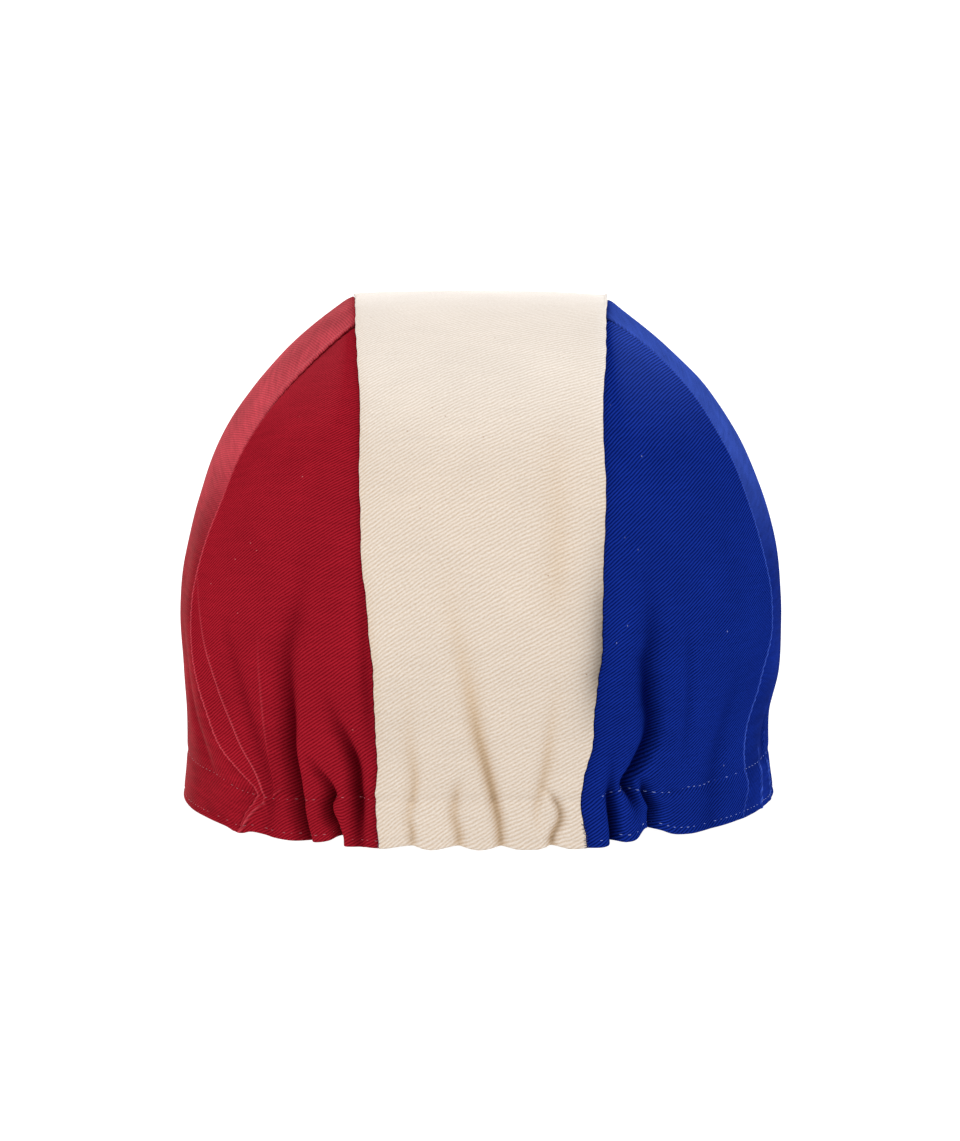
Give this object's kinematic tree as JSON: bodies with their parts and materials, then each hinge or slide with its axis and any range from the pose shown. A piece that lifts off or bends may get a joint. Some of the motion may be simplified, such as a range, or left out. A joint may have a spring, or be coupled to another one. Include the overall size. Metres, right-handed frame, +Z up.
{
  "type": "cap",
  "caption": "Soft cotton twill cap: panelled crown with a wide centre strip, gathered rear hem and a short stiff peak, open underneath and standing on its hem",
  "frame": {"origin": "middle of the box's base: the middle of its width and of its length from the rear hem to the peak's tip, on the surface that the cap rests on", "axes": "+Z up, -Y the way the peak points, +X the wearer's left"},
  "size_m": [0.1768, 0.2528, 0.1505],
  "materials": {
    "cream_twill": "matt cotton twill",
    "red_twill": "matt cotton twill",
    "blue_twill": "matt cotton twill",
    "band_cloth": "matt plain cotton"
  },
  "bodies": {
    "root": {"centre_strip": "cream_twill", "left_rear_panel": "red_twill", "left_front_panel": "red_twill", "right_rear_panel": "blue_twill", "right_front_panel": "blue_twill", "hem_band": "band_cloth", "peak": "cream_twill"}
  },
  "joints": []
}
